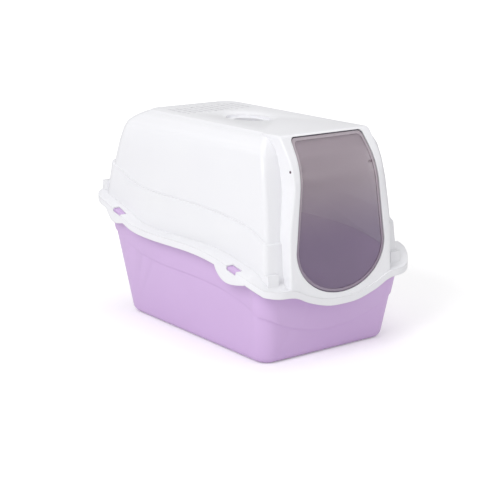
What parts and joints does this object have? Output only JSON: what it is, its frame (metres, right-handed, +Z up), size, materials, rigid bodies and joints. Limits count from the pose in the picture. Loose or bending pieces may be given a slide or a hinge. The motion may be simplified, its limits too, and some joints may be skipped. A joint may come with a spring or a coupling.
{
  "type": "covered litter box",
  "caption": "Open tray with a lift-off hood, a swinging smoked door flap, a hand hole in the roof and a filter under the roof vents.",
  "frame": {"origin": "on the floor, under the middle of the skirt's outline", "axes": "+X towards the right-hand side seen from the front, +Y towards the rear with the doorway facing -Y, +Z up"},
  "size_m": [0.39, 0.57, 0.41],
  "materials": {
    "tray": "satin moulded polypropylene, lilac",
    "hood": "satin moulded polypropylene, white",
    "flap": "smooth smoked see-through plastic",
    "filter_cover": "satin moulded polypropylene, white",
    "filter_pad": "black carbon fleece"
  },
  "bodies": {
    "tray_body": {"tray": "tray"},
    "hood_body": {"hood": "hood"},
    "flap_body": {"flap": "flap"},
    "filter_body": {"filter_cover": "filter_cover", "filter_pad": "filter_pad"}
  },
  "joints": [
    {"name": "hood_lift", "type": "slide", "parent": "tray_body", "child": "hood_body", "axis": [0, 0, 1], "range_m": [0, 0.16]},
    {"name": "flap_hinge", "type": "hinge", "parent": "hood_body", "child": "flap_body", "pos_m": [0, -0.2564, 0.351], "axis": [1, 0, 0], "range_deg": [-85, 85]},
    {"name": "filter_cover_hinge", "type": "hinge", "parent": "hood_body", "child": "filter_body", "pos_m": [0, 0.176, 0.3995], "axis": [1, 0, 0], "range_deg": [0, 85]}
  ]
}
